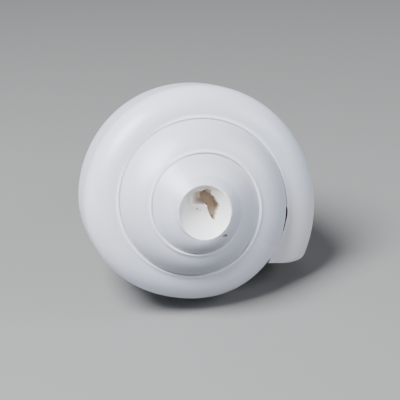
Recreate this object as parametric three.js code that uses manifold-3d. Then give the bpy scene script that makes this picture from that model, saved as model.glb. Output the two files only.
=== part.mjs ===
// A right-handed conch shell with its tip cut off and ground to a mouthpiece, lying on its mouth.
// It grew as one piece, so it is one solid. Millimetres and degrees.
// The shell's own frame has its axis on Z, with the missing tip at the origin and the canal below.
// A place on a whorl is (n, u): n counts turns back from the lip, and u runs from the suture
// above the whorl (0) over its widest line (0.5) to the end of the canal (1).

import * as THREE from 'three';
import { mergeVertices } from 'three/addons/utils/BufferGeometryUtils.js';
import Module from 'manifold-3d';

// Whorls
const whorlRatio = 1.584; // each turn is this much larger than the one before
const sutureRadius = 35.4; // suture at the lip, from the axis
const spireSlope = 0.857; // depth over radius along the suture
const spireTurns = 4.15;
const bandFlatness = 0.55; // share of a straight slope in the spire's whorls, the rest is round
const lipRadius = 50; // widest line at the lip, from the axis
const lipDepth = 42.1; // widest line at the lip, below the missing tip
const lipGrowth = 1.755; // how late in the last turn the whorl swells
const bodyDepth = 67; // from the widest line to where the body narrows, at the lip
const bodyShrink = 0.8; // how fast that depth shrinks back along the whorl
const bodyFullness = 3.8;
// Slight swells and flats of the last whorl: turns back from the lip, width in turns, share of radius
const swells = [[0.6, 0.07, 0.023], [0.8, 0.08, -0.037]];

// Suture: a raised rim on the outer whorl, with a narrow groove inside it
const rimHeight = 0.55;
const rimPlace = 2.2;
const rimWidth = 1.2;
const grooveDepth = 0.7;
const grooveWidth = 0.9;
const reliefTurns = [1.8, 2.4]; // polishing takes the relief away between these turns

// Columella, and the canal's stem around it
const canalDepth = 158;
const canalRounding = 6;
const columellaRadius = 5.6;
const columellaFull = 100; // depth from which the columella keeps its radius
const stemGrowth = 0.9; // natural log of the stem's growth over the last turn

// Lip
const lipAngle = -28; // at the widest line
const lipLag = 11; // how much further on the lip lies at the suture
const lipSlant = 12; // how much the widest line lies behind the suture
const slantTurns = 0.35; // turns over which the slant dies out
const lipRoundLength = 2.4;
const lipRoundDepth = 1.1;
const lipStart = -lipLag / 360;

// Cavity
const wall = 5.2;
const wallShrink = 0.8;
const lipWallShare = 0.3;
const callus = [0.4, 1.2]; // glaze over the whorl inside: at the lip, and further in
const cavityTurns = 2.5;
const cavityReach = 1.15; // depth of the cavity as a share of the body's depth
const canalOverrun = 6; // the cavity runs past the canal's end by this
const canalTurns = [0.1, 0.3]; // the canal's groove runs out between these turns
const plaitDepths = [70, 78, 86];
const plaitHeight = 1.7;
const plaitWidth = 1.9;

// Mouthpiece: the ground bowl, and the irregular hole broken through its floor
const cutDepth = 8;
const rimRadius = 9.6;
const bowlRadius = 8.7;
const bowlDepth = 13.5;
const holeDepth = 38;
const rampSlope = 1.1;
const brokenHole = [
  [0.6, 7.2], [2.1, 7.1], [2.5, 6.1], [3.8, 5], [5.1, 3], [5.8, 1.7], [5.6, 0.5], [5, -0.8],
  [4.3, -2.6], [3.8, -3.4], [3, -2.6], [2.1, -1.1], [1.7, 0.4], [1.5, 1.4], [0.8, 3.4], [-0.6, 6.4],
];
const rampHole = [
  [-4.3, 4.3], [-3.4, 6.2], [-0.6, 6.5], [0.9, 4.4], [1.6, 1.8],
  [0.2, 2.3], [-0.6, 2.4], [-1.9, 2.1], [-3.1, 1.8],
];

// Rest on the floor: turned about its axis until the lip touches, then tipped onto the canal
const restRoll = -8.19;
const restPitch = 13.42;

// Fineness
const columnsPerTurn = 40;
const lipColumns = [0.0012, 0.0035, 0.008]; // extra columns behind the lip, in turns
const bandRows = [0, 0.035, 0.09, 0.17, 0.28, 0.39, 0.5];
const bodyRows = 23;
const cavityColumns = 28;
const cavityStarts = [-0.03, -0.015, 0, 0.004, 0.009, 0.016]; // turns from the lip
const shoulderSteps = 4;
const outerSteps = 9;
const innerSteps = 12;
const bowlSteps = 6;
const rimSegments = 36;

const wasm = await Module();
wasm.setup();

const { lerp, degToRad, smoothstep } = THREE.MathUtils;
const clamp = (x, low, high) => Math.min(Math.max(x, low), high);
const smooth = (x, [start, end]) => smoothstep(x, start, end);
const bump = (x, middle, width) => Math.exp(-(((x - middle) / width) ** 2));

function suture(n) {
  return sutureRadius * whorlRatio ** -n;
}

// Widest line of a whorl. On the earlier turns it is where the next suture covers the whorl.
function widest(n) {
  if (n >= 1) return { r: suture(n - 1), z: -spireSlope * suture(n - 1) };
  const growth = (1 - n) ** lipGrowth;
  const startDepth = spireSlope * sutureRadius;
  const swell = swells.reduce((sum, [middle, width, amount]) => sum + amount * bump(n, middle, width), 1);
  return {
    r: sutureRadius * (lipRadius / sutureRadius) ** growth * swell,
    z: -startDepth * (lipDepth / startDepth) ** growth,
  };
}

// Radius of the columella, growing outwards into the canal's stem over the last turn.
function stem(n, z) {
  const end = clamp((-z - canalDepth + canalRounding) / canalRounding, 0, 1);
  const core = columellaRadius * Math.min(1, -z / columellaFull) ** 0.6;
  return core * Math.exp(stemGrowth * Math.max(1 - n, 0)) * (1 - 0.35 * end ** 2);
}

function bodyDepthAt(n) {
  return bodyDepth * whorlRatio ** (-bodyShrink * n);
}

// Radius of a whorl below its widest line.
function bodyRadius(n, z) {
  const top = widest(n);
  const fall = Math.exp(-((Math.max(top.z - z, 0) / bodyDepthAt(n)) ** bodyFullness));
  return stem(n, z) + (top.r - stem(n, z)) * fall;
}

// How far a whorl has come down from its suture: a quarter ellipse on the last turn, flatter before it.
function shoulder(n, angle) {
  const flat = bandFlatness * smooth(n, [0.8, 1.3]);
  return (1 - flat) * (1 - Math.cos(angle)) + flat * Math.sin(angle) ** 1.3;
}

function sutureRelief(n, distance) {
  const groove = grooveDepth * bump(distance, 0, grooveWidth);
  return (1 - smooth(n, reliefTurns)) * (rimHeight * bump(distance, rimPlace, rimWidth) - groove);
}

// Outer surface of whorl n at u, as radius and height.
function whorlPoint(n, u) {
  const top = widest(n);
  if (u > 0.5) {
    const z = top.z - (canalDepth + top.z) * (2 * u - 1);
    return { r: bodyRadius(n, z), z };
  }
  const start = suture(n);
  const angle = u * Math.PI;
  const r = start + (top.r - start) * Math.sin(angle);
  const height = -spireSlope * start + (top.z + spireSlope * start) * shoulder(n, angle);
  return { r, z: height + sutureRelief(n, r - start) };
}

// The lip leans back from the suture to the widest line, and the lean dies out along the whorl.
function leaned(n, u) {
  const fade = clamp(1 - (n - lipStart) / slantTurns, 0, 1) ** 2;
  return n + (lipSlant / 360) * Math.sin(Math.PI * u) * fade;
}

function pointAt(n, r, z) {
  const angle = degToRad(lipAngle + 360 * n);
  return [r * Math.cos(angle), r * Math.sin(angle), z];
}

// A point of the outer surface, drawn in a little where the lip's edge is rounded.
function outerPoint(n, u) {
  const turn = leaned(n, u);
  const { r, z } = whorlPoint(turn, u);
  const fromLip = clamp(((turn - leaned(lipStart, u)) * 2 * Math.PI * r) / lipRoundLength, 0, 1);
  const rounding = lipRoundDepth * (1 - Math.sqrt(1 - (1 - fromLip) ** 2)) * Math.min(1, u * 12);
  return pointAt(turn, r - rounding, z);
}

// A closed mesh under construction: shared points, triangles and quads.
class Skin {
  positions = [];
  triangles = [];

  add(point) {
    this.positions.push(...point);
    return this.positions.length / 3 - 1;
  }

  triangle(a, b, c) {
    this.triangles.push(a, b, c);
  }

  quad(a, b, c, d) {
    this.triangles.push(a, b, c, a, c, d);
  }

  // Quads between two columns of points that run side by side.
  strip(left, right) {
    for (let i = 0; i + 1 < left.length; i++) this.quad(left[i], left[i + 1], right[i + 1], right[i]);
  }

  solid() {
    const mesh = new wasm.Mesh({
      numProp: 3,
      vertProperties: new Float32Array(this.positions),
      triVerts: new Uint32Array(this.triangles),
    });
    return new wasm.Manifold(mesh);
  }
}

// The shell as if filled: the winding band, the body below it, the lip's face and both ends.
function filledShell() {
  const skin = new Skin();
  const even = Array.from({ length: columnsPerTurn }, (_, i) => i / columnsPerTurn);
  const offsets = [...even, ...lipColumns].sort((a, b) => a - b);
  const perTurn = offsets.length;
  const bandColumns = Math.round(spireTurns * perTurn);
  const lastRow = bandRows.length - 1;
  const turnAt = (i) => lipStart + Math.floor(i / perTurn) + offsets[i % perTurn];

  // From the second turn on, a column of the band ends on the suture of the turn outside it
  const band = [];
  for (let i = 0; i <= bandColumns; i++) {
    const sewn = i >= perTurn;
    const rows = sewn ? bandRows.slice(0, lastRow) : bandRows;
    const column = rows.map((u) => skin.add(outerPoint(turnAt(i), u)));
    band.push(sewn ? [...column, band[i - perTurn][0]] : column);
  }
  const body = band.slice(0, perTurn + 1).map((column, i) => {
    const rows = Array.from({ length: bodyRows }, (_, row) => 0.5 + (0.5 * (row + 1)) / bodyRows);
    return [column[lastRow], ...rows.map((u) => skin.add(outerPoint(turnAt(i), u)))];
  });
  for (let i = 0; i < bandColumns; i++) skin.strip(band[i], band[i + 1]);
  for (let i = 0; i < perTurn; i++) skin.strip(body[i], body[i + 1]);

  addLipFace(skin, band[0], body[0], body[perTurn]);
  const canalEnd = skin.add([0, 0, -canalDepth]);
  for (let i = 0; i < perTurn; i++) skin.triangle(canalEnd, body[i + 1][bodyRows], body[i][bodyRows]);
  skin.triangle(canalEnd, body[0][bodyRows], body[perTurn][bodyRows]);
  const tip = skin.add([0, 0, 0]);
  for (let i = bandColumns - perTurn; i < bandColumns; i++) skin.triangle(tip, band[i][0], band[i + 1][0]);
  const lastColumn = band[bandColumns];
  for (let row = 0; row < lastRow; row++) skin.triangle(tip, lastColumn[row], lastColumn[row + 1]);
  return skin.solid();
}

// Between the lip's edge and the whorl behind it, as a fan above and a strip below.
function addLipFace(skin, bandEdge, bodyEdge, whorlEdge) {
  const corner = bandEdge[0];
  for (let row = 1; row + 1 < bandEdge.length; row++) {
    skin.triangle(corner, bandEdge[row + 1], bandEdge[row]);
  }
  skin.quad(corner, whorlEdge[1], bodyEdge[1], bodyEdge[0]);
  skin.strip(whorlEdge.slice(1), bodyEdge.slice(1));
}

// Depth at which the cavity ends: open to the end of the canal at the lip, closed further back.
function cavityBottom(n) {
  const closed = widest(n).z - cavityReach * bodyDepthAt(n);
  return closed + (-canalDepth - canalOverrun - closed) * (1 - smooth(n, canalTurns));
}

// Folds that wind around the columella.
function plaits(n, z) {
  const scale = whorlRatio ** -n;
  const inside = smooth(n - lipStart, [0, 0.05]);
  const folds = plaitDepths.reduce((sum, depth) => sum + bump(-z, depth * scale, plaitWidth * scale), 0);
  return folds * plaitHeight * scale * inside;
}

// One closed section of the cavity, down its outer side and back up along the whorl inside it.
function cavitySection(n) {
  const fromLip = n - lipStart;
  const scale = whorlRatio ** -Math.max(n, 0);
  const thickness = wall * scale ** wallShrink * lerp(lipWallShare, 1, smooth(fromLip, [0, 0.025]));
  const glaze = fromLip < 0 ? 1 : lerp(...callus, smooth(fromLip, [0, 0.12])) * scale;
  const start = suture(n);
  const startZ = -spireSlope * start - 1.3 * thickness;
  const top = widest(n);
  const bottom = cavityBottom(n);

  const inner = (z) => bodyRadius(1 + n, z) + glaze + plaits(n, z);
  const outer = (z) => Math.max(bodyRadius(n, z) - thickness, inner(z) + 0.8 * scale);
  // Both sides close in to a round bottom
  const side = (z, sign) => {
    const nearEnd = 1 - clamp((z - bottom) / (6 * scale), 0, 1);
    const half = ((outer(z) - inner(z)) / 2) * Math.sqrt(1.02 - nearEnd ** 2);
    return (outer(z) + inner(z)) / 2 + sign * half;
  };

  const points = [];
  for (let i = 0; i <= shoulderSteps; i++) {
    const angle = lerp(0.18, Math.PI / 2, i / shoulderSteps);
    const r = start + (top.r - thickness - start) * Math.sin(angle);
    const z = startZ + (top.z - startZ) * shoulder(n, angle);
    points.push(pointAt(leaned(n, angle / Math.PI), r, z));
  }
  for (let i = 1; i <= outerSteps; i++) {
    const z = lerp(top.z, bottom, i / outerSteps);
    const u = 0.5 + (0.5 * (top.z - z)) / (canalDepth + canalOverrun + top.z);
    points.push(pointAt(leaned(n, u), side(z, 1), z));
  }
  for (let i = innerSteps; i >= 0; i--) {
    const z = lerp(startZ, bottom, i / innerSteps);
    points.push(pointAt(n, side(z, -1), z));
  }
  return points;
}

// The space inside the whorls, from just beyond the lip back to under the mouthpiece.
function cavity() {
  const count = Math.floor(cavityTurns * cavityColumns);
  const turns = [...cavityStarts, ...Array.from({ length: count }, (_, i) => (i + 1) / cavityColumns)];
  const sections = turns.map((turn) => cavitySection(lipStart + turn));
  const skin = new Skin();
  const rings = sections.map((section) => section.map((point) => skin.add(point)));
  const looped = rings.map((ring) => [...ring, ring[0]]);
  for (let i = 0; i + 1 < rings.length; i++) skin.strip(looped[i], looped[i + 1]);
  for (const i of [0, rings.length - 1]) {
    const contour = sections[i].map(([x, y, z]) => new THREE.Vector2(Math.hypot(x, y), z));
    for (const [a, b, c] of THREE.ShapeUtils.triangulateShape(contour, [])) {
      const [second, third] = i === 0 ? [b, c] : [c, b];
      skin.triangle(rings[i][a], rings[i][second], rings[i][third]);
    }
  }
  return skin.solid();
}

function fromGeometry(geometry) {
  geometry.deleteAttribute('normal');
  geometry.deleteAttribute('uv');
  const merged = mergeVertices(geometry, 1e-5);
  const skin = new Skin();
  skin.positions = [...merged.attributes.position.array];
  skin.triangles = [...merged.index.array];
  return skin.solid();
}

// Everything above the ground rim, and the bowl inside it.
function mouthpieceCutter() {
  const edgeDrop = 0.7;
  const outside = rimRadius + 6;
  const profile = [];
  for (let i = 0; i <= bowlSteps; i++) {
    const share = i / bowlSteps;
    const rise = (bowlDepth - cutDepth - edgeDrop) * share ** 2.2;
    profile.push(new THREE.Vector2(bowlRadius * share, -bowlDepth + rise));
  }
  profile.push(new THREE.Vector2((bowlRadius + rimRadius) / 2, -cutDepth - 0.2));
  profile.push(new THREE.Vector2(rimRadius, -cutDepth));
  profile.push(new THREE.Vector2(rimRadius + 0.8, -cutDepth - 0.25));
  profile.push(new THREE.Vector2(outside, -cutDepth - 0.25));
  profile.push(new THREE.Vector2(outside, 5), new THREE.Vector2(0, 5));
  const lathe = new THREE.LatheGeometry(profile, rimSegments);
  lathe.rotateX(Math.PI / 2);
  return fromGeometry(lathe);
}

// A prism from above the bowl down to a floor whose height depends on x.
function holeCutter(outline, floorAt) {
  const shape = new THREE.Shape(outline.map(([x, y]) => new THREE.Vector2(x, y)));
  const geometry = new THREE.ExtrudeGeometry(shape, { depth: 1, bevelEnabled: false });
  const position = geometry.attributes.position;
  for (let i = 0; i < position.count; i++) {
    position.setZ(i, position.getZ(i) > 0.5 ? -cutDepth + 1 : floorAt(position.getX(i)));
  }
  return fromGeometry(geometry);
}

function shellGeometry() {
  const rampStart = rampHole[0][0];
  const cuts = [
    cavity(),
    mouthpieceCutter(),
    holeCutter(brokenHole, () => -holeDepth),
    holeCutter(rampHole, (x) => -bowlDepth + 1 - rampSlope * (x - rampStart)),
  ];
  const mesh = cuts.reduce((shell, cut) => shell.subtract(cut), filledShell()).getMesh();
  const geometry = new THREE.BufferGeometry();
  geometry.setAttribute('position', new THREE.BufferAttribute(new Float32Array(mesh.vertProperties), 3));
  geometry.setIndex(new THREE.BufferAttribute(new Uint32Array(mesh.triVerts), 1));
  return geometry;
}

const polished = new THREE.MeshStandardMaterial({ color: 0xe3e6ea, roughness: 0.3, metalness: 0 });
const shell = new THREE.Mesh(shellGeometry(), polished);
shell.name = 'shell';

// The tip points along -Y, and the origin is on the floor under the middle of the shell.
const group = new THREE.Group();
group.add(shell);
group.rotation.set(degToRad(90 - restPitch), 0, degToRad(restRoll));
const extent = new THREE.Box3().setFromObject(group, true);
const middle = extent.getCenter(new THREE.Vector3());
group.position.set(-middle.x, -middle.y, -extent.min.z);

export default group;
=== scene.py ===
import math
import bmesh
import bpy
import numpy as np
from mathutils import Matrix, Vector


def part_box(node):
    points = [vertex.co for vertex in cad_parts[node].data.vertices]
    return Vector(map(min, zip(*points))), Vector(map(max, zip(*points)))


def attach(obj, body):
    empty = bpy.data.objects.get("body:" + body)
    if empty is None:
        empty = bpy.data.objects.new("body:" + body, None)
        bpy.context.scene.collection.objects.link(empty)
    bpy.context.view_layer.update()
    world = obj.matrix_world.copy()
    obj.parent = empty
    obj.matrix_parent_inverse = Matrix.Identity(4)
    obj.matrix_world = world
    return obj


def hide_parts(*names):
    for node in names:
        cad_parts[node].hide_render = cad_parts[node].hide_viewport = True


# A polished white conch shell lying on its mouth, its tip ground open as a mouthpiece.
# The shell is worked out in its own frame, as in the CAD: axis on Z, missing tip at the origin,
# canal end below, millimetres. restPlace then lays it down in the row's frame, in metres.

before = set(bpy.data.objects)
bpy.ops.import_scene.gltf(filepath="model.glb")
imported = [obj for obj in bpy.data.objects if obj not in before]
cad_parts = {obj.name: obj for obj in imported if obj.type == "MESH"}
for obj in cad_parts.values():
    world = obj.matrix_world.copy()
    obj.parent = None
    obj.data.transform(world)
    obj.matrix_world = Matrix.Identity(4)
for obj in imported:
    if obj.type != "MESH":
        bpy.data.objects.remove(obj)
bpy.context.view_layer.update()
shellLow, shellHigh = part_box("shell")

rest = {"roll": -8.19, "pitch": 13.42, "tip": (-4.2533, -80.4081, 44.783)}  # degrees and millimetres
restTurn = (Matrix.Rotation(math.radians(90 - rest["pitch"]), 4, "X")
            @ Matrix.Rotation(math.radians(rest["roll"]), 4, "Z"))
restPlace = Matrix.Scale(0.001, 4) @ Matrix.Translation(rest["tip"]) @ restTurn


# Sums of fields, written as plain sums: each new step makes one Math node.
class Field:
    made = {}

    def __init__(self, tree, socket):
        self.tree, self.socket = tree, socket

    def math(self, operation, *others):
        return self.node(operation, self, *others)

    def node(self, operation, *values):
        key = (self.tree.as_pointer(), operation) + tuple(
            value.socket.as_pointer() if isinstance(value, Field) else float(value) for value in values)
        if key not in Field.made:
            node = self.tree.nodes.new("ShaderNodeMath")
            node.operation = operation
            for slot, value in zip(node.inputs, values):
                if isinstance(value, Field):
                    self.tree.links.new(value.socket, slot)
                else:
                    slot.default_value = value
            Field.made[key] = Field(self.tree, node.outputs[0])
        return Field.made[key]

    def __add__(self, other): return self.math("ADD", other)
    def __radd__(self, other): return self.math("ADD", other)
    def __sub__(self, other): return self.math("SUBTRACT", other)
    def __rsub__(self, other): return self.node("SUBTRACT", other, self)
    def __mul__(self, other): return self.math("MULTIPLY", other)
    def __rmul__(self, other): return self.math("MULTIPLY", other)
    def __truediv__(self, other): return self.math("DIVIDE", other)
    def __pow__(self, other): return self.math("POWER", other)
    def __neg__(self): return self.math("MULTIPLY", -1)
    def exp(self): return self.math("EXPONENT")
    def sin(self): return self.math("SINE")
    def cos(self): return self.math("COSINE")
    def sqrt(self): return self.math("SQRT")
    def least(self, other): return self.math("MINIMUM", other)
    def most(self, other): return self.math("MAXIMUM", other)
    def above(self, other): return self.math("GREATER_THAN", other)

    def within(self, low, high):
        return self.most(low).least(high)

    def smooth(self, low, high):
        share = ((self - low) / (high - low)).within(0, 1)
        return share * share * (3 - 2 * share)

    def bump(self, middle, width):
        away = (self - middle) / width
        return (-(away * away)).exp()


def blend(share, first, second):
    return first + (second - first) * share


# The shell. A place on a whorl is a turn, counted back from the lip, and a share of the way
# from the suture above it (0) over its widest line (0.5) to the canal's end (1).
shellSizes = {
    "Whorl Ratio": 1.584,
    "Suture Radius": 35.4,
    "Spire Slope": 0.857,
    "Band Flatness": 0.25,
    "Lip Radius": 50.0,
    "Lip Depth": 42.1,
    "Lip Growth": 1.755,
    "Body Depth": 67.0,
    "Body Shrink": 0.8,
    "Body Fullness": 3.8,
    "Rim Height": 0.7,
    "Rim Place": 0.7,
    "Rim Width": 0.5,
    "Groove Depth": 0.04,
    "Groove Width": 0.4,
    "Worn From Turn": 1.86,
    "Canal Depth": 158.0,
    "Columella Radius": 5.6,
    "Stem Growth": 0.9,
    "Lip Angle": -28.0,
    "Lip Lag": 11.0,
    "Lip Slant": 12.0,
    "Lip Rounding": 2.4,
    "Wall": 5.2,
    "Plait Height": 1.7,
}

# How fine the mesh is: columns to a turn and rows, crowded towards the suture and the lip
fineness = {
    "columns": 200, "turns": 4.1, "lipCrowding": 0.05,
    "bandRows": 34, "bandCrowding": 1.3, "bodyRows": 52,
    "sections": 170, "sectionCrowding": 1.35, "shoulderRows": 14, "ringOuter": 46, "ringInner": 36,
}
lipStart = -shellSizes["Lip Lag"] / 360

# Departures from the rule: places in turns back from the lip, lengths in millimetres
shellForm = {
    "swells": ((0.023, 0.6, 0.07), (-0.037, 0.8, 0.08)),  # share of the radius, middle and width
    "justUnderTurn": 0.999999,
    "justOverTurn": 1.00001,
    "stemFullAt": 100,  # the columella has its full radius from this depth on
    "stemTaper": 0.6,
    "endLength": 6,  # of the canal's thinner end
    "endThinning": 0.35,
    "flatOver": (0.8, 1.3),  # the band gets flatter between these turns
    "flatPower": 1.3,
    "powerLost": 0.3,  # where the band is worn
    "pressed": (0.75, 1.45, 0.1),  # a flatter stretch: share, middle and width
    "wornOver": 0.16,
    "stillRound": (0.9, 2.83, 0.12),  # a stretch of the worn tip that kept a round shoulder
    "leanTurns": 0.35,  # after these the lip's slant has faded
    "edgeRounding": 1.1,
    "edgeRise": 12,  # the rounding is full from a twelfth of the way down the lip
    "plaitDepths": (70, 78, 86),
    "plaitWidth": 1.9,
    "plaitsOver": 0.05,
}

# The raised rim along the suture sets in at the lip and was polished away elsewhere
relief = {
    "setsIn": (-0.02, 0.06),
    "wornOver": 0.2,
    "sideTurns": (0.45, 1.45),
    "sideWidth": 0.085,
    "sideWear": 0.97,
}

hollowForm = {
    "beforeLip": 0.03,
    "turns": 2.53,
    "wallPower": 0.8,  # how fast the wall thins towards the tip
    "edgeWall": 0.3,  # share of the wall left at the lip's edge
    "edgeOver": 0.025,
    "glaze": (0.4, 1.2),  # laid on the whorl inside, at the lip and further in
    "glazeOver": 0.12,
    "roof": 1.3,  # walls between the suture and the hollow
    "firstAngle": 0.18,
    "leastGap": 0.8,
    "closedAt": 1.15,  # body depths below the widest line, on the closed turns
    "closesOver": (0.1, 0.3),
    "pastEnd": 6,
    "endLength": 6,
    "endOpen": 1.02,  # the part above 1 keeps some width at the very end
}


def polishedSide(turn):
    # 1 on the side of the whorls that was held to the wheel
    first, second = (turn.bump(middle, relief["sideWidth"]) for middle in relief["sideTurns"])
    return first + second


# The growth rule as fields of one tree
class Growth:
    def __init__(self, name):
        self.tree = bpy.data.node_groups.new(name, "GeometryNodeTree")
        face = self.tree.interface
        face.new_socket("Geometry", in_out="INPUT", socket_type="NodeSocketGeometry")
        for size in shellSizes:
            face.new_socket(size, in_out="INPUT", socket_type="NodeSocketFloat")
        face.new_socket("Geometry", in_out="OUTPUT", socket_type="NodeSocketGeometry")
        self.inputs = self.tree.nodes.new("NodeGroupInput")
        self.size = {name: Field(self.tree, self.inputs.outputs[name]) for name in shellSizes}
        self.lipStart = -self.size["Lip Lag"] / 360

    def attribute(self, name):
        node = self.tree.nodes.new("GeometryNodeInputNamedAttribute")
        node.inputs["Name"].default_value = name
        return Field(self.tree, node.outputs["Attribute"])

    def suture(self, n):
        return self.size["Suture Radius"] * self.size["Whorl Ratio"] ** (-n)

    def widest(self, n):
        # on the earlier turns it is where the next suture covers the whorl
        size = self.size
        earlier = self.suture(n - 1)
        growth = (1 - n).most(0) ** size["Lip Growth"]
        startDepth = size["Spire Slope"] * size["Suture Radius"]
        swell = 1
        for height, middle, width in shellForm["swells"]:
            swell = swell + height * n.bump(middle, width)
        lastRadius = size["Suture Radius"] * (size["Lip Radius"] / size["Suture Radius"]) ** growth * swell
        lastHeight = -startDepth * (size["Lip Depth"] / startDepth) ** growth
        covered = n.above(shellForm["justUnderTurn"])
        return blend(covered, lastRadius, earlier), blend(covered, lastHeight, -size["Spire Slope"] * earlier)

    def stem(self, n, z):
        size, length = self.size, shellForm["endLength"]
        end = ((-z - size["Canal Depth"] + length) / length).within(0, 1)
        taper = (-z / shellForm["stemFullAt"]).within(0.001, 1) ** shellForm["stemTaper"]
        grown = size["Columella Radius"] * taper * (size["Stem Growth"] * (1 - n).most(0)).exp()
        return grown * (1 - shellForm["endThinning"] * end * end)

    def bodyDepth(self, n):
        return self.size["Body Depth"] * self.size["Whorl Ratio"] ** (-self.size["Body Shrink"] * n)

    def bodyRadius(self, n, z):
        radius, height = self.widest(n)
        fall = (-(((height - z).most(0) / self.bodyDepth(n)) ** self.size["Body Fullness"])).exp()
        core = self.stem(n, z)
        return core + (radius - core) * fall

    def shoulder(self, n, angle):
        flatness, wornFrom = self.size["Band Flatness"], self.size["Worn From Turn"]
        kept, keptAt, keptWidth = shellForm["stillRound"]
        pressed, pressedAt, pressedWidth = shellForm["pressed"]
        worn = n.smooth(wornFrom, wornFrom + shellForm["wornOver"]) * (1 - kept * n.bump(keptAt, keptWidth))
        flat = flatness * n.smooth(*shellForm["flatOver"]) + (1 - flatness) * worn
        flat = flat + (1 - flat) * pressed * n.bump(pressedAt, pressedWidth)
        power = shellForm["flatPower"] - shellForm["powerLost"] * worn
        return (1 - flat) * (1 - angle.cos()) + flat * angle.sin().most(0) ** power

    def leaned(self, n, u):
        fade = (1 - (n - self.lipStart) / shellForm["leanTurns"]).within(0, 1)
        return n + self.size["Lip Slant"] / 360 * (math.pi * u).sin() * fade * fade

    def point(self, n, r, z):
        angle = math.radians(1) * (self.size["Lip Angle"] + 360 * n)
        vector = self.tree.nodes.new("ShaderNodeCombineXYZ")
        for slot, value in zip(vector.inputs, (r * angle.cos(), r * angle.sin(), z)):
            self.tree.links.new(value.socket, slot)
        return vector.outputs[0]

    def either(self, share, first, second):
        mix = self.tree.nodes.new("ShaderNodeMix")
        mix.data_type = "VECTOR"
        factor, a, b = (next(s for s in mix.inputs if s.identifier == name)
                        for name in ("Factor_Float", "A_Vector", "B_Vector"))
        for value, slot in ((share.socket, factor), (first, a), (second, b)):
            self.tree.links.new(value, slot)
        return next(s for s in mix.outputs if s.identifier == "Result_Vector")

    def outerPlace(self, n, u):
        size = self.size
        turn = self.leaned(n, u)
        start = self.suture(turn)
        radius, height = self.widest(turn)
        angle = math.pi * u.least(0.5)
        bandR = start + (radius - start) * angle.sin()
        top = -size["Spire Slope"] * start
        bandZ = top + (height - top) * self.shoulder(turn, angle)
        # the raised rim outside a suture and its groove, which also bites into the whorl inside it
        away = bandR - start
        rim = size["Rim Height"] * away.bump(size["Rim Place"], size["Rim Width"])
        groove = size["Groove Depth"] * away.bump(0, size["Groove Width"])
        farther = n.above(self.lipStart + shellForm["justOverTurn"])
        inside = (bandR - self.suture(n - 1)).bump(0, 2 * size["Groove Width"]) * farther
        bandZ = bandZ + (rim - groove) * self.unworn(n) - inside * size["Groove Depth"] * self.unworn(n - 1)
        bodyZ = height - (size["Canal Depth"] + height) * (2 * u - 1).most(0)
        low = u.above(0.5)
        r = blend(low, bandR, self.bodyRadius(turn, bodyZ))
        z = blend(low, bandZ, bodyZ)
        fromLip = ((turn - self.leaned(self.lipStart, u)) * (2 * math.pi) * r / size["Lip Rounding"]).within(0, 1)
        edge = 1 - fromLip
        drawn = shellForm["edgeRounding"] * (1 - (1 - edge * edge).most(0).sqrt())
        return self.point(turn, r - drawn * (shellForm["edgeRise"] * u).least(1), z)

    def unworn(self, n):
        # polishing took the relief away towards the tip, and on the side held to the wheel
        wornFrom = self.size["Worn From Turn"]
        worn = n.smooth(wornFrom, wornFrom + relief["wornOver"])
        side = relief["sideWear"] * polishedSide(n)
        return (1 - worn) * (1 - side) * n.smooth(*relief["setsIn"])

    def plaits(self, n, z):
        scale = self.size["Whorl Ratio"] ** (-n)
        width = shellForm["plaitWidth"] * scale
        first, second, third = ((-z).bump(depth * scale, width) for depth in shellForm["plaitDepths"])
        rise = (n - self.lipStart).smooth(0, shellForm["plaitsOver"])
        return (first + second + third) * self.size["Plait Height"] * scale * rise

    def side(self, n, z, bottom, sign, scale, thickness, glaze):
        inner = self.bodyRadius(1 + n, z) + glaze + self.plaits(n, z)
        outer = (self.bodyRadius(n, z) - thickness).most(inner + hollowForm["leastGap"] * scale)
        nearEnd = 1 - ((z - bottom) / (hollowForm["endLength"] * scale)).within(0, 1)
        width = (hollowForm["endOpen"] - nearEnd * nearEnd).sqrt()
        return (outer + inner) / 2 + sign * (outer - inner) / 2 * width

    # Down the hollow's outer side, and back up along the whorl inside it
    def hollowPlace(self, n, share, part):
        size, form = self.size, hollowForm
        fromLip = n - self.lipStart
        scale = size["Whorl Ratio"] ** (-n.most(0))
        thinned = blend(fromLip.smooth(0, form["edgeOver"]), form["edgeWall"], 1)
        thickness = size["Wall"] * scale ** form["wallPower"] * thinned
        glaze = blend(fromLip.smooth(0, form["glazeOver"]), *form["glaze"]) * blend(fromLip.above(0), 1, scale)
        start = self.suture(n)
        startZ = -size["Spire Slope"] * start - form["roof"] * thickness
        radius, height = self.widest(n)
        closed = height - form["closedAt"] * self.bodyDepth(n)
        opened = 1 - n.smooth(*form["closesOver"])
        bottom = closed + (-size["Canal Depth"] - form["pastEnd"] - closed) * opened
        angle = blend(share, form["firstAngle"], math.pi / 2)
        shoulderR = start + (radius - thickness - start) * angle.sin()
        shoulderZ = startZ + (height - startZ) * self.shoulder(n, angle)
        shoulderPlace = self.point(self.leaned(n, angle / math.pi), shoulderR, shoulderZ)
        outerZ = height + (bottom - height) * share
        u = 0.5 + 0.5 * (height - outerZ) / (size["Canal Depth"] + form["pastEnd"] + height)
        outerSide = self.side(n, outerZ, bottom, 1, scale, thickness, glaze)
        outerPlace = self.point(self.leaned(n, u), outerSide, outerZ)
        innerZ = startZ + (bottom - startZ) * share
        innerPlace = self.point(n, self.side(n, innerZ, bottom, -1, scale, thickness, glaze), innerZ)
        return self.either(part.above(1.5), self.either(part.above(0.5), shoulderPlace, outerPlace), innerPlace)

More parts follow.
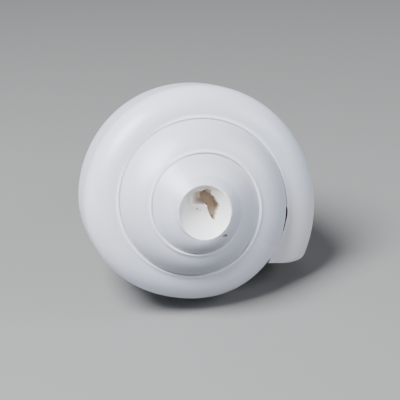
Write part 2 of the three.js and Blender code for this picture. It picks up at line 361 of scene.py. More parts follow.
    def finish(self, place, material):
        tree = self.tree
        moved = tree.nodes.new("GeometryNodeSetPosition")
        real = tree.nodes.new("GeometryNodeRealizeInstances")
        coat = tree.nodes.new("GeometryNodeSetMaterial")
        coat.inputs["Material"].default_value = material
        output = tree.nodes.new("NodeGroupOutput")
        tree.links.new(self.inputs.outputs["Geometry"], moved.inputs["Geometry"])
        tree.links.new(place, moved.inputs["Position"])
        tree.links.new(moved.outputs[0], real.inputs[0])
        tree.links.new(real.outputs[0], coat.inputs[0])
        tree.links.new(coat.outputs[0], output.inputs[0])
        print(tree.name, len(tree.nodes), "nodes")
        return tree


# A mesh under construction: only which points there are and how they join, not yet where they lie
class Seed:
    def __init__(self, *names):
        self.names, self.rows, self.faces = names, [], []

    def add(self, *values):
        self.rows.append(values)
        return len(self.rows) - 1

    def strip(self, left, right):
        for i in range(len(left) - 1):
            self.faces.append((left[i], left[i + 1], right[i + 1], right[i]))

    def grown(self, name, tree):
        mesh = bpy.data.meshes.new(name)
        apart = 0.001  # no two points coincide before the tree moves them
        mesh.from_pydata([(0, 0, apart * i) for i in range(len(self.rows))], [], self.faces)
        for k, attribute in enumerate(self.names):
            data = mesh.attributes.new(attribute, "FLOAT", "POINT")
            data.data.foreach_set("value", [row[k] for row in self.rows])
        piece = bpy.data.objects.new(name, mesh)
        bpy.context.scene.collection.objects.link(piece)
        modifier = piece.modifiers.new("Growth", "NODES")
        modifier.node_group = tree
        for item in tree.interface.items_tree:
            if item.in_out == "INPUT" and item.name in shellSizes:
                modifier[item.identifier] = shellSizes[item.name]
        plainMesh(piece, name)
        return piece


def plainMesh(piece, name):
    # the evaluated result as a mesh of its own
    bpy.context.view_layer.update()
    mesh = bpy.data.meshes.new_from_object(piece.evaluated_get(bpy.context.evaluated_depsgraph_get()))
    mesh.name = name
    piece.modifiers.clear()
    piece.data = mesh


# The shell as if filled, as in the CAD: the winding band, the body below it, the lip's face and both ends
def filledSeed():
    seed = Seed("turn", "share", "onAxis")
    perTurn, bandRows, bodyRows = fineness["columns"], fineness["bandRows"], fineness["bodyRows"]
    bandColumns = int(fineness["turns"] * perTurn)
    crowding = fineness["lipCrowding"]
    steps = [i / perTurn for i in range(perTurn)]
    crowded = [(1 + crowding) * step ** 2 / (step + crowding) for step in steps]  # towards the lip's edge
    turnAt = [lipStart + i // perTurn + crowded[i % perTurn] for i in range(bandColumns + 1)]
    shares = [0.5 * (row / (bandRows - 1)) ** fineness["bandCrowding"] for row in range(bandRows)]
    band = []
    for i, n in enumerate(turnAt):
        sewn = i >= perTurn  # ends on the suture of the turn outside it
        column = [seed.add(n, u, 0) for u in (shares[:-1] if sewn else shares)]
        band.append(column + [band[i - perTurn][0]] if sewn else column)
    body = []
    for i in range(perTurn + 1):
        rows = [0.5 + 0.5 * (row + 1) / bodyRows for row in range(bodyRows)]
        body.append([band[i][-1]] + [seed.add(turnAt[i], u, 0) for u in rows])
    for i in range(bandColumns):
        seed.strip(band[i], band[i + 1])
    for i in range(perTurn):
        seed.strip(body[i], body[i + 1])
    corner, edge, behind = band[0][0], body[0], body[perTurn]
    seed.faces += [(corner, band[0][row + 1], band[0][row]) for row in range(1, bandRows - 1)]
    seed.faces.append((corner, behind[1], edge[1], edge[0]))
    seed.strip(behind[1:], edge[1:])
    canalEnd, tip = seed.add(0, 1, 1), seed.add(0, 0, 1)
    seed.faces += [(canalEnd, body[i + 1][-1], body[i][-1]) for i in range(perTurn)]
    seed.faces.append((canalEnd, edge[-1], behind[-1]))
    seed.faces += [(tip, band[i][0], band[i + 1][0]) for i in range(bandColumns - perTurn, bandColumns)]
    seed.faces += [(tip, band[-1][row], band[-1][row + 1]) for row in range(bandRows - 1)]
    return seed


def hollowSeed():
    seed = Seed("turn", "share", "part")
    steps, shoulderRows = fineness["sections"], fineness["shoulderRows"]
    outer, inner = fineness["ringOuter"], fineness["ringInner"]
    places = [(0, i / (shoulderRows - 1)) for i in range(shoulderRows)]
    places += [(1, (i + 1) / (outer - shoulderRows)) for i in range(outer - shoulderRows)]
    places += [(2, 1 - i / (inner - 1)) for i in range(inner)]
    rings = []
    for i in range(steps):
        along = (i / (steps - 1)) ** fineness["sectionCrowding"]
        n = lipStart - hollowForm["beforeLip"] + hollowForm["turns"] * along
        rings.append([seed.add(n, share, part) for part, share in places])
    for near, far in zip(rings, rings[1:]):
        seed.strip(near + near[:1], far + far[:1])
    for ring, turned in ((rings[0], False), (rings[-1], True)):
        low, high = 0, len(ring) - 1
        while high - low > 1:  # a cap of triangles, taken from both sides in turn
            odd = (low + high) % 2
            face = (ring[low], ring[low + 1 if odd else high - 1], ring[high])
            seed.faces.append(face if turned else face[::-1])
            low, high = (low + 1, high) if odd else (low, high - 1)
    return seed


# How light spreads below the surface, for coats that glow
glowSizes = {"radius": (1.0, 0.8, 0.7), "scale": 0.0015}


# A finish under construction
class Coat:
    spotEdge = (0.5, 1.4)  # a spot fades between these shares of its radius

    def __init__(self, name, look):
        self.material = bpy.data.materials.new(name)
        self.material.use_nodes = True
        self.tree = self.material.node_tree
        self.shader = self.tree.nodes["Principled BSDF"]
        self.shader.inputs["Roughness"].default_value = look["roughness"]
        self.shader.inputs["Subsurface Weight"].default_value = look["glow"]
        self.shader.inputs["Subsurface Radius"].default_value = glowSizes["radius"]
        self.shader.inputs["Subsurface Scale"].default_value = glowSizes["scale"]
        self.place = self.tree.nodes.new("ShaderNodeTexCoord").outputs["Object"]

    def attribute(self, name):
        node = self.tree.nodes.new("ShaderNodeAttribute")
        node.attribute_name = name
        return Field(self.tree, node.outputs["Fac"])

    def noise(self, scale, detail):
        node = self.tree.nodes.new("ShaderNodeTexNoise")
        self.tree.links.new(self.place, node.inputs["Vector"])
        node.inputs["Scale"].default_value = scale
        node.inputs["Detail"].default_value = detail
        return Field(self.tree, node.outputs["Fac"])

    def lines(self, along, across):
        # noise drawn out into lines of equal along
        vector = self.tree.nodes.new("ShaderNodeCombineXYZ")
        self.tree.links.new(along.socket, vector.inputs[0])
        self.tree.links.new(across.socket, vector.inputs[1])
        node = self.tree.nodes.new("ShaderNodeTexNoise")
        self.tree.links.new(vector.outputs[0], node.inputs["Vector"])
        node.inputs["Scale"].default_value = 1.0
        node.inputs["Detail"].default_value = 4.0
        return Field(self.tree, node.outputs["Fac"])

    def near(self, shellPlace, start, end):
        # 1 within start millimetres of a place in the shell's own frame, 0 beyond end
        node = self.tree.nodes.new("ShaderNodeVectorMath")
        node.operation = "DISTANCE"
        self.tree.links.new(self.place, node.inputs[0])
        node.inputs[1].default_value = restPlace @ Vector(shellPlace)
        return 1 - Field(self.tree, node.outputs["Value"]).smooth(start / 1000, end / 1000)

    def along(self, axis):
        # millimetres along an axis of the shell's own frame
        node = self.tree.nodes.new("ShaderNodeVectorMath")
        node.operation = "DOT_PRODUCT"
        self.tree.links.new(self.place, node.inputs[0])
        direction = restTurn.to_3x3() @ Vector(axis)
        node.inputs[1].default_value = direction * 1000
        return Field(self.tree, node.outputs["Value"]) - direction.dot(Vector(rest["tip"]))

    def seenFromTip(self):
        # millimetres to the right and up, looking down the shell's axis
        return self.along((1, 0, 0)), self.along((0, 1, 0))

    def spots(self, places):
        # the strongest of some round spots seen down the axis: x, y, radius and strength of each
        mask = None
        start, end = self.spotEdge
        for x, y, radius, strength in places:
            right, up = self.seenFromTip()
            dx, dy = right - x, up - y
            spot = strength * (1 - (dx * dx + dy * dy).sqrt().smooth(start * radius, end * radius))
            mask = spot if mask is None else mask.most(spot)
        return mask

    def mix(self, share, first, second):
        node = self.tree.nodes.new("ShaderNodeMix")
        node.data_type = "RGBA"
        factor, a, b = (next(s for s in node.inputs if s.identifier == name)
                        for name in ("Factor_Float", "A_Color", "B_Color"))
        self.tree.links.new(share.socket, factor)
        for value, slot in ((first, a), (second, b)):
            if isinstance(value, tuple):
                slot.default_value = (*value, 1)
            else:
                self.tree.links.new(value, slot)
        return next(s for s in node.outputs if s.identifier == "Result_Color")

    def lay(self, tone, mask):
        # one more tone over the colour so far: red, green, blue and how well it covers
        self.colour = self.mix(mask * tone[3], self.colour, tone[:3])

    def finished(self, relief, depth):
        self.tree.links.new(self.colour, self.shader.inputs["Base Color"])
        if relief:
            node = self.tree.nodes.new("ShaderNodeBump")
            node.inputs["Distance"].default_value = depth
            self.tree.links.new(relief.socket, node.inputs["Height"])
            self.tree.links.new(node.outputs["Normal"], self.shader.inputs["Normal"])
        return self.material


porcelainLook = {
    "roughness": 0.34,
    "glow": 0.2,
    "clouds": (28, 2),  # scale and detail of the noise
    "cloudsOver": (0.35, 0.7),
    "fine": (260, 3),
    "cool": (0.60, 0.645, 0.755),
    "warm": (0.66, 0.685, 0.745),
    "warmth": 0.55,
    "growthLine": (0.58, 0.60, 0.65, 0.5),
    "linesPerTurn": 90,
    "linesDown": 0.9,
    # a whiter line along the suture, partly the callus's own colour and partly a painted highlight for the lit
    # rim
    "edge": (0.97, 0.975, 0.99, 0.9),
    "edgeAndHighlightPlace": (0.018, 0.013),  # share of the way down from the suture, and width
    "edgeAndHighlightWornOver": (1.9, 2.05),  # turns back from the lip
    "edgeAndHighlightSideWear": 0.95,
    # painted shade on the steep side inside each suture, strongest at these turns, where that side faces down
    "paintedShade": (0.22, 0.23, 0.26, 0.65),
    "paintedShadeOver": (0.0, 0.28),
    "paintedShadeTurns": ((1.82, 0.13), (2.83, 0.12)),
    "paintedShadeElsewhere": 0.2,
    "lip": (0.67, 0.66, 0.67, 0.8),
    "lipFade": (0.015, 0.11),
    "speck": (0.16, 0.12, 0.10, 0.5),
    "speckPlace": ((-11.1, 2.6, -9.8), 0.12, 0.3),  # full within the first radius, gone at the second
    "growthRelief": 0.7,  # share of the relief that the growth lines make
    "relief": 0.00006,
}


def makePorcelain():
    look = porcelainLook
    coat = Coat("polishedShell", look)
    turn, share = coat.attribute("turn"), coat.attribute("share")
    clouds = coat.noise(*look["clouds"]).smooth(*look["cloudsOver"])
    coat.colour = coat.mix(clouds * look["warmth"], look["cool"], look["warm"])
    growth = coat.lines(turn * look["linesPerTurn"], share * look["linesDown"])
    coat.lay(look["growthLine"], (growth - 0.5).most(0))
    # the edge each whorl laid along the suture is whiter, partly as a painted highlight; the steep side inside it
    # has painted shade, most where it faces down
    edge = share.bump(*look["edgeAndHighlightPlace"]) * (1 - turn.smooth(*look["edgeAndHighlightWornOver"]))
    edge = edge * (1 - look["edgeAndHighlightSideWear"] * polishedSide(turn)) * turn.smooth(*relief["setsIn"])
    coat.lay(look["edge"], edge)
    # painted shade: the steep side inside each suture is darkened, most where it faces down
    paintedShade = share.smooth(*look["paintedShadeOver"]) * (1 - share.above(0.5)) * turn.above(1.0)
    first, second = (turn.bump(*place) for place in look["paintedShadeTurns"])
    elsewhere = look["paintedShadeElsewhere"]
    coat.lay(look["paintedShade"], paintedShade * (elsewhere + (1 - elsewhere) * (first + second)))
    coat.lay(look["lip"], 1 - turn.smooth(*look["lipFade"]))
    coat.lay(look["speck"], coat.near(*look["speckPlace"]))
    fine = coat.noise(*look["fine"]) * (1 - look["growthRelief"])
    return coat.finished(growth * look["growthRelief"] + fine, look["relief"])


insideLook = {
    "roughness": 0.32,
    "glow": 0.1,
    "clouds": (45, 3),
    "cloudsOver": (0.45, 0.75),
    "fine": (120, 4),
    # pale at the mouth, and darker brown deeper in as painted shade, warm like light coming through the wall
    "mouth": (0.84, 0.79, 0.71),
    "deepShade": (0.50, 0.37, 0.27),
    "deepShadeOver": (0.05, 0.9),
    "cloud": (0.72, 0.56, 0.44, 0.4),
    "relief": 0.0001,
}


def makeInside():
    look = insideLook
    coat = Coat("shellInside", look)
    # painted shade: darker brown deeper inside the whorls
    coat.colour = coat.mix(coat.attribute("turn").smooth(*look["deepShadeOver"]), look["mouth"], look["deepShade"])
    coat.lay(look["cloud"], coat.noise(*look["clouds"]).smooth(*look["cloudsOver"]))
    return coat.finished(coat.noise(*look["fine"]), look["relief"])


# The ground bowl and the broken hole are painted by where a place lies seen down the axis,
# in millimetres: ranges to the right or up, and spots as x, y, radius and strength
groundLook = {
    "roughness": 0.5,
    "glow": 0.2,
    "clouds": (160, 3),
    "cloudsOver": (0.4, 0.7),
    "fine": (500, 4),
    "white": (0.86, 0.87, 0.875),
    "layer": (0.82, 0.815, 0.805),
    "layering": 0.5,
    "pink": (0.77, 0.67, 0.69, 0.6),
    "pinkLeft": (-6.2, -3.6),
    "pinkRight": (0.4, 3.4),
    "pinkLow": (-2.2, 0.6),
    "greyTan": (0.58, 0.56, 0.51, 0.6),
    "greyTanSpots": [(-4.0, 5.0, 2.6, 1)],
    "beige": (0.84, 0.76, 0.66, 0.5),
    "beigeSpots": [(0.1, 1.3, 1.1, 1)],
    "speck": (0.12, 0.09, 0.10, 0.8),
    "specks": [(-1.95, 0.45, 0.4, 1), (-0.85, 0.05, 0.3, 0.55)],
    "relief": 0.00008,
}


def makeGround():
    # matt, with the shell's layers faintly showing, and pinkish and tan below and left of the hole
    look = groundLook
    coat = Coat("groundTip", look)
    clouds = coat.noise(*look["clouds"]).smooth(*look["cloudsOver"])
    coat.colour = coat.mix(clouds * look["layering"], look["white"], look["layer"])
    x, y = coat.seenFromTip()
    pink = x.smooth(*look["pinkLeft"]) * (1 - x.smooth(*look["pinkRight"])) * y.smooth(*look["pinkLow"])
    coat.lay(look["pink"], pink)
    for tone in ("greyTan", "beige"):
        coat.lay(look[tone], coat.spots(look[tone + "Spots"]))
    coat.lay(look["speck"], coat.spots(look["specks"]))
    return coat.finished(coat.noise(*look["fine"]), look["relief"])


brokenLook = {
    "roughness": 0.55,
    "glow": 0.1,
    "clouds": (110, 4),
    "cloudsOver": (0.35, 0.7),
    "fine": (400, 4),
    "tan": (0.95, 0.85, 0.74),
    "brown": (0.85, 0.75, 0.65),
    "olive": (0.78, 0.70, 0.42, 0.8),
    "olivePlace": ((4.4, 4.2, -15), 0.8, 3.2),
    "beige": (0.88, 0.78, 0.68, 0.6),
    "beigePlace": ((2.0, 1.6, -14), 0.4, 1.8),
    "raggedNoise": (350, 3),
    "raggedness": 2.4,
    "holeLeft": (-2.4, -0.4),
    "holeLow": (2.4, 4.2),
    "holeRight": (0.6, 1.2),
    "rampLow": (0.82, 0.74, 0.73),
    "rampHigh": (0.70, 0.67, 0.61),
    "rampOver": (2.4, 5.5),
    "rampStart": (0.87, 0.87, 0.86),
    "startLeft": (-4.7, -3.4),
    "startLow": (0.6, 2.6),
    "speck": (0.10, 0.08, 0.08, 0.85),
    "specks": [(2.5, 1.2, 0.4, 1), (3.9, -3.0, 0.75, 0.7), (-1.95, 0.45, 0.28, 1)],
    "chip": (0.66, 0.66, 0.67, 1),
    "chipFrom": (-7, -6),
    "relief": 0.0003,
}


def makeBroken():
    # the ramp is white like the bowl where it starts, then pink and grey; the hole has tan and brown layers
    look = brokenLook
    coat = Coat("brokenLayers", look)
    x, y = coat.seenFromTip()
    coat.colour = coat.mix(coat.noise(*look["clouds"]).smooth(*look["cloudsOver"]), look["tan"], look["brown"])
    for tone in ("olive", "beige"):
        coat.lay(look[tone], coat.near(*look[tone + "Place"]))
    ragged = y + (coat.noise(*look["raggedNoise"]) - 0.5) * look["raggedness"]
    hole = x.smooth(*look["holeLeft"]) * ragged.smooth(*look["holeLow"])
    hole = hole.most(x.smooth(*look["holeRight"]))
    ramp = coat.mix(y.smooth(*look["rampOver"]), look["rampLow"], look["rampHigh"])
    ramp = coat.mix(x.smooth(*look["startLeft"]) * y.smooth(*look["startLow"]), look["rampStart"], ramp)
    coat.colour = coat.mix(1 - hole, coat.colour, ramp)
    coat.lay(look["speck"], coat.spots(look["specks"]))
    coat.lay(look["chip"], 1 - y.smooth(*look["chipFrom"]))
    return coat.finished(coat.noise(*look["fine"]), look["relief"])


# the slit and the lip seam are painted near black as painted shade; farther back the slit's dark red is its
# reddish colour, deepened by painted shade
slitLook = {
    "roughness": 0.7,
    "glow": 0.0,
    "dark": (0.05, 0.05, 0.05),
    "red": (0.10, 0.028, 0.025),
    "redOver": (-7.5, -5.5),  # towards the lip the slit is black, farther back dark red
}


def makeSlit():
    look = slitLook
    coat = Coat("slitPaintedShade", look)
    coat.colour = coat.mix(coat.seenFromTip()[1].smooth(*look["redOver"]), look["dark"], look["red"])
    return coat.finished(None, 0)


porcelain, insideCoat, groundCoat = makePorcelain(), makeInside(), makeGround()
brokenCoat, slitCoat = makeBroken(), makeSlit()
print("five coats made")


def growShell():
    rule = Growth("ShellGrowth")
    n, u, onAxis = (rule.attribute(name) for name in ("turn", "share", "onAxis"))
    axisPlace = rule.point(n, u * 0, -rule.size["Canal Depth"] * u)
    place = rule.either(onAxis, rule.outerPlace(n, u), axisPlace)
    return filledSeed().grown("shell_fine", rule.finish(place, porcelain))


def growHollow():
    rule = Growth("HollowGrowth")
    n, share, part = (rule.attribute(name) for name in ("turn", "share", "part"))
    return hollowSeed().grown("hollowCutter", rule.finish(rule.hollowPlace(n, share, part), insideCoat))


shell = growShell()
hollow = growHollow()
print("grown:", len(shell.data.polygons), "faces outside,", len(hollow.data.polygons), "inside")


onAxisWithin = 1e-6


def lathed(profile, segments):
    # a closed turned solid from (radius, height) points, first and last on the axis
    mesh = bmesh.new()
    rings = []
    for radius, height in profile:
        if radius < onAxisWithin:
            rings.append([mesh.verts.new((0, 0, height))] * segments)
            continue
        angles = [2 * math.pi * i / segments for i in range(segments)]
        rings.append([mesh.verts.new((radius * math.cos(a), radius * math.sin(a), height)) for a in angles])
    for near, far in zip(rings, rings[1:]):
        for i in range(segments):
            corners = [near[i], near[(i + 1) % segments], far[(i + 1) % segments], far[i]]
            corners = [v for k, v in enumerate(corners) if v not in corners[:k]]
            if len(corners) > 2:
                mesh.faces.new(corners)
    bmesh.ops.recalc_face_normals(mesh, faces=mesh.faces)
    return mesh


def cutterObject(mesh, name, material=None):
    data = bpy.data.meshes.new(name)
    mesh.to_mesh(data)
    mesh.free()
    piece = bpy.data.objects.new(name, data)
    if material:
        data.materials.append(material)
    bpy.context.scene.collection.objects.link(piece)
    return piece


# The tip is ground off flat, and the bowl for the lips turned into the face
mouthpiece = {
    "cut": 8,
    "rimRadius": 9.85,
    "bowlRadius": 8.95,
    "bowlDepth": 12.1,
    "bowlPower": 2.2,
    "bowlRows": 24,
    "edgeDrop": 0.7,
    "edgeRadius": 0.45,
    "edgeAngles": (40, 65, 90, 115, 140),
    "flare": 0.8,
    "flareDrop": 0.3,
    "clearRadius": 16,  # wider than the tip that goes
    "clearHeight": 5,
    "segments": 128,
    "stretch": (0.985, 1.035),  # the ground face is a little taller than wide
    "shift": (-0.1, -0.35),
}


def bowlHeight(radius):
    rise = mouthpiece["bowlDepth"] - mouthpiece["cut"] - mouthpiece["edgeDrop"]
    return -mouthpiece["bowlDepth"] + rise * (radius / mouthpiece["bowlRadius"]) ** mouthpiece["bowlPower"]


def mouthpieceCutter():
    rim, bowl, rows = mouthpiece["rimRadius"], mouthpiece["bowlRadius"], mouthpiece["bowlRows"]
    profile = [(bowl * i / rows, bowlHeight(bowl * i / rows)) for i in range(rows + 1)]
    middle, edge = (bowl + rim) / 2, mouthpiece["edgeRadius"]
    for angle in mouthpiece["edgeAngles"]:
        turned = math.radians(180 - angle)
        profile.append((middle + edge * math.cos(turned), -mouthpiece["cut"] - edge + edge * math.sin(turned)))
    low, high = -mouthpiece["cut"] - mouthpiece["flareDrop"], mouthpiece["clearHeight"]
    clear = mouthpiece["clearRadius"]
    profile += [(rim + mouthpiece["flare"], low), (clear, low), (clear, high), (0, high)]
    mesh = lathed(profile, mouthpiece["segments"])
    place = Matrix.Translation((*mouthpiece["shift"], 0)) @ Matrix.Diagonal((*mouthpiece["stretch"], 1, 1))
    bmesh.ops.transform(mesh, verts=mesh.verts, matrix=place)
    return cutterObject(mesh, "mouthpieceCutter", groundCoat)


def lofted(rings):
    # a closed solid through rings of equally many points, capped at both ends
    mesh = bmesh.new()
    loops = [[mesh.verts.new(point) for point in ring] for ring in rings]
    for near, far in zip(loops, loops[1:]):
        for i in range(len(near)):
            k = (i + 1) % len(near)
            mesh.faces.new((near[i], near[k], far[k], far[i]))
    ends = [mesh.faces.new(loops[0]), mesh.faces.new(loops[-1][::-1])]
    bmesh.ops.triangulate(mesh, faces=ends)
    bmesh.ops.recalc_face_normals(mesh, faces=mesh.faces)
    return mesh


brokenHole = {
    "outline": [(0.3, 7.65), (1.7, 7.6), (2.5, 6.1), (3.8, 5), (5.1, 3), (5.8, 1.7),
                (5.6, 0.5), (5, -0.8), (4.3, -2.6), (3.8, -3.4), (3, -2.6), (2.1, -1.1),
                (1.7, 0.4), (1.5, 1.4), (0.8, 3.4), (-0.9, 6.7)],
    "seed": 7,
    "raggedness": 0.09,
    "layers": ((-7, 1.0), (-13, 1.0), (-14.3, 1.03), (-15.6, 1.1),  # depth and spread
               (-17, 1.15), (-18.4, 1.05), (-19, 0.8)),
    "layersFrom": -14,  # above it the wall is plainer
    "plainWobble": 0.05,
    "layerWobble": 0.16,
    "floorFrom": -16,
    "floorSlope": 0.35,
    "floorMiddle": 2,
}


def holeCutter():
    # the broken edge is ragged, and its walls step outwards below in layers
    random = np.random.default_rng(brokenHole["seed"])
    outline = np.array(brokenHole["outline"])
    ragged = []
    for i, point in enumerate(outline):
        side = outline[(i + 1) % len(outline)] - point
        for share in (0, 0.25, 0.5, 0.75):
            ragged.append(point + side * share + random.normal(0, brokenHole["raggedness"], 2))
    ragged = np.array(ragged)
    middle = ragged.mean(0)
    rings = []
    for depth, spread in brokenHole["layers"]:
        uneven = brokenHole["plainWobble" if depth > brokenHole["layersFrom"] else "layerWobble"]
        slope = brokenHole["floorSlope"] if depth < brokenHole["floorFrom"] else 0
        places = middle + (ragged - middle) * spread + random.normal(0, uneven, ragged.shape)
        rings.append([(x, y, depth - slope * (y - brokenHole["floorMiddle"])) for x, y in places])
    return cutterObject(lofted(rings), "holeCutter", brokenCoat)


# The way on down to the whorls, under the hole's upper edge: depth, radius, x and y
passage = {
    "stations": ((-17, 1.1, 1.2, 7.7), (-22, 1.3, 1.4, 7.3), (-30, 1.9, 2.6, 4.6), (-38, 2.2, 3.6, 2.6)),
    "segments": 24,
}


def passageCutter():
    angles = [2 * math.pi * i / passage["segments"] for i in range(passage["segments"])]
    rings = [[(x + radius * math.cos(a), y + radius * math.sin(a), depth) for a in angles]
             for depth, radius, x, y in passage["stations"]]
    return cutterObject(lofted(rings), "passageCutter", brokenCoat)


ramp = {
    "left": -4.8,
    "right": 2.4,
    "low": 0.9,
    "top": [(-4.8, 4.2), (-4.5, 5.4), (-4.0, 6.4), (-3.0, 6.75),
            (-1.3, 6.95), (0.1, 7.5), (1.2, 7.7), (2.4, 7.2)],
    "slope": 1.15,
    "softFrom": 1.2,
    "softOver": 2.6,
    "rise": 0.15,  # starts this much above the bowl's floor
    "lid": -7,
    "steps": 22,
    "seed": 3,
    "raggedness": 0.05,
}


def rampCutter():
    # a dip that starts softly in the bowl's floor and falls towards the hole, under a broken upper edge
    mesh = bmesh.new()
    steps = ramp["steps"]
    random = np.random.default_rng(ramp["seed"])
    floor, lid = [], []
    for i in range(steps + 1):
        x = ramp["left"] + (ramp["right"] - ramp["left"]) * i / steps
        high = np.interp(x, *zip(*ramp["top"])) + random.normal(0, ramp["raggedness"])
        for j in range(steps + 1):
            y = ramp["low"] + (high - ramp["low"]) * j / steps
            share = min(max((y - ramp["softFrom"]) / ramp["softOver"], 0), 1)
            drop = ramp["slope"] * (x - ramp["left"]) * share ** 2 * (3 - 2 * share)
            floor.append(mesh.verts.new((x, y, bowlHeight(math.hypot(x, y)) + ramp["rise"] - drop)))
            lid.append(mesh.verts.new((x, y, ramp["lid"])))

    def at(i, j):
        return i * (steps + 1) + j

    for i in range(steps):
        for j in range(steps):
            corners = (at(i, j), at(i + 1, j), at(i + 1, j + 1), at(i, j + 1))
            mesh.faces.new([floor[k] for k in corners[::-1]])
            mesh.faces.new([lid[k] for k in corners])
    border = [at(i, 0) for i in range(steps)] + [at(steps, j) for j in range(steps)]
    border += [at(i, steps) for i in range(steps, 0, -1)] + [at(0, j) for j in range(steps, 0, -1)]
    for k, near in enumerate(border):
        far = border[(k + 1) % len(border)]
        mesh.faces.new((lid[near], floor[near], floor[far], lid[far]))
    bmesh.ops.recalc_face_normals(mesh, faces=mesh.faces)
    return cutterObject(mesh, "rampCutter", brokenCoat)


# An old slit in the suture behind the lip, and the seam where the lip leaves the body, both cut in
# and painted dark as painted shade: turns back from the lip, and half the width
slit = {
    "slit": [(0.028, 0.1), (0.033, 0.2), (0.040, 0.24), (0.047, 0.22),
             (0.050, 0.36), (0.057, 0.46), (0.064, 0.42), (0.070, 0.1)],
    "lipSeam": [(-0.034, 0.2), (-0.029, 0.22), (-0.024, 0.16), (-0.021, 0.06)],
    "outwards": 0.3,  # from the suture
    "above": 2,
    "outerDepth": 1.2,
    "depth": 3.2,
    "innerDepth": 1.5,
}


def slitCutter(name):
    rings = []
    for n, half in slit[name]:
        radius = shellSizes["Suture Radius"] * shellSizes["Whorl Ratio"] ** -n + slit["outwards"]
        height = -shellSizes["Spire Slope"] * radius
        angle = math.radians(shellSizes["Lip Angle"] + 360 * n)
        ring = [(-half, slit["above"]), (half, slit["above"]), (half, -slit["outerDepth"]),
                (0, -slit["depth"]), (-half, -slit["innerDepth"])]
        rings.append([((radius + out) * math.cos(angle), (radius + out) * math.sin(angle), height + up)
                      for out, up in ring])
    return cutterObject(lofted(rings), name + "Cutter", slitCoat)


chip = {
    "place": (7.8, -9.2, -8),
    "inwards": (-0.6, 0.8, -2.7),  # from its mouth to its bottom
    "halfLength": 1.7,
    "halfWidth": 0.9,
    "turned": 0.7,
    "rings": ((0, 1.0), (0.5, 0.95), (1, 0.5)),  # share of the way in, and size there
    "corners": 9,
    "seed": 11,
    "raggedness": 0.12,
}


def chipCutter():
    # a chip out of the side just below the ground rim
    random = np.random.default_rng(chip["seed"])
    rings = []
    for share, size in chip["rings"]:
        x, y, z = (start + step * share for start, step in zip(chip["place"], chip["inwards"]))
        ring = []
        for i in range(chip["corners"]):
            angle = 2 * math.pi * i / chip["corners"] + chip["turned"]
            away = size * (1 + random.normal(0, chip["raggedness"]))
            ring.append((x + chip["halfLength"] * away * math.cos(angle),
                         y + chip["halfWidth"] * away * math.sin(angle), z))
        rings.append(ring)
    return cutterObject(lofted(rings), "chipCutter", brokenCoat)


def carve(piece, cutters):
    for cutter in cutters:
        cut = piece.modifiers.new(cutter.name, "BOOLEAN")
        cut.operation, cut.solver, cut.object = "DIFFERENCE", "MANIFOLD", cutter
        cut.material_mode = "TRANSFER"
    plainMesh(piece, "shellCarved")
    for cutter in cutters:
        bpy.data.objects.remove(cutter)


carve(shell, [hollow, mouthpieceCutter(), rampCutter(), holeCutter(), passageCutter(),
              slitCutter("slit"), slitCutter("lipSeam"), chipCutter()])
shell.data.transform(restPlace)
print("carved:", len(shell.data.polygons), "faces,", [m.name for m in shell.data.materials])


def fitToFrame(piece, low, high):
    # the fine surface fills the CAD solid's box exactly, a change of a few tenths of a millimetre
    points = np.array([v.co for v in piece.data.vertices])
    fineLow, fineHigh = points.min(0), points.max(0)
    scale = (np.array(high) - np.array(low)) / (fineHigh - fineLow)
    ends = [((fine - np.array(cad)) * 1000).round(2) for fine, cad in ((fineLow, low), (fineHigh, high))]
    print("fitted: scale", scale.round(4), "ends moved by", *ends, "mm")
    points = np.array(low) + (points - fineLow) * scale
    piece.data.vertices.foreach_set("co", points.ravel())
    piece.data.update()


sharpAngle = 32  # degrees
fitToFrame(shell, shellLow, shellHigh)
for polygon in shell.data.polygons:
    polygon.use_smooth = True
shell.data.set_sharp_from_angle(angle=math.radians(sharpAngle))
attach(shell, "root")
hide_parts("shell")

paleFloor = {"size": 3, "colour": (0.205, 0.205, 0.203, 1), "roughness": 0.8, "below": 0.0002}


def makeFloor():
    mesh = bmesh.new()
    bmesh.ops.create_grid(mesh, x_segments=1, y_segments=1, size=paleFloor["size"])
    material = bpy.data.materials.new("paleFloor")
    material.use_nodes = True
    shader = material.node_tree.nodes["Principled BSDF"]
    shader.inputs["Base Color"].default_value = paleFloor["colour"]
    shader.inputs["Roughness"].default_value = paleFloor["roughness"]
    floor = cutterObject(mesh, "floor", material)
    floor.location.z = -paleFloor["below"]


makeFloor()

# The camera looks at the missing tip, a little off the shell's axis, as in the photograph
view = {
    "tilt": 14.74,  # degrees off the shell's axis
    "towards": 145.16,
    "distance": 471.8,  # from the missing tip
    "lens": 126,
    "sensor": 36,
    "shift": (-0.025, 0.038),
    "nearest": 0.01,
}


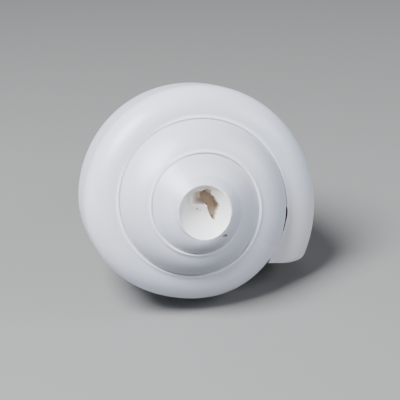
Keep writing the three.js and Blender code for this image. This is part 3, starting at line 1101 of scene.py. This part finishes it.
def makeCamera():
    tilt, towards = math.radians(view["tilt"]), math.radians(view["towards"])
    along = Vector((math.cos(towards), math.sin(towards), 0))
    across = Vector((-math.sin(towards), math.cos(towards), 0))
    fromTip = math.sin(tilt) * along + math.cos(tilt) * Vector((0, 0, 1))
    leaning = math.cos(tilt) * along - math.sin(tilt) * Vector((0, 0, 1))
    right = math.cos(towards) * leaning - math.sin(towards) * across
    up = math.sin(towards) * leaning + math.cos(towards) * across
    turn = restTurn.to_3x3()
    axes = [turn @ axis for axis in (right, up, fromTip)]
    data = bpy.data.cameras.new("camera")
    data.lens, data.sensor_width = view["lens"], view["sensor"]
    data.shift_x, data.shift_y = view["shift"]
    data.clip_start = view["nearest"]
    camera = bpy.data.objects.new("camera", data)
    place = Matrix([[axes[0][i], axes[1][i], axes[2][i]] for i in range(3)]).to_4x4()
    place.translation = restPlace @ (fromTip * view["distance"])
    camera.matrix_world = place
    bpy.context.scene.collection.objects.link(camera)
    bpy.context.scene.camera = camera
    print("camera at", [round(v, 4) for v in place.translation], "height angle",
          round(math.degrees(math.asin(axes[2].z)), 1))
    return camera


camera = makeCamera()


# Each light stands in a direction told from the camera: right, up and towards it
lightTarget = Vector((0, -0.03, 0.04))
lights = {
    "key": {"from": (-0.45, 0.6, 0.7), "away": 0.9, "size": 0.5, "power": 27, "colour": (0.98, 0.99, 1)},
    "right": {"from": (0.8, 0.35, 0.45), "away": 1.0, "size": 0.5, "power": 6, "colour": (0.9, 0.94, 1)},
    "left": {"from": (-1, 0.15, 0.3), "away": 1.0, "size": 0.5, "power": 2, "colour": (0.95, 0.97, 1)},
}


def placeLight(name, look):
    data = bpy.data.lights.new(name, "AREA")
    data.shape, data.size = "DISK", look["size"]
    data.energy, data.color = look["power"], look["colour"]
    light = bpy.data.objects.new(name, data)
    direction = (camera.matrix_world.to_3x3() @ Vector(look["from"])).normalized()
    light.location = lightTarget + direction * look["away"]
    light.rotation_euler = (lightTarget - light.location).to_track_quat("-Z", "Y").to_euler()
    bpy.context.scene.collection.objects.link(light)


for name, look in lights.items():
    placeLight(name, look)

studio = {"colour": (0.85, 0.9, 1, 1), "strength": 0.16}
world = bpy.data.worlds.new("studio")
bpy.context.scene.world = world
world.use_nodes = True
background = world.node_tree.nodes["Background"]
background.inputs["Color"].default_value = studio["colour"]
background.inputs["Strength"].default_value = studio["strength"]
print("camera and lights set")
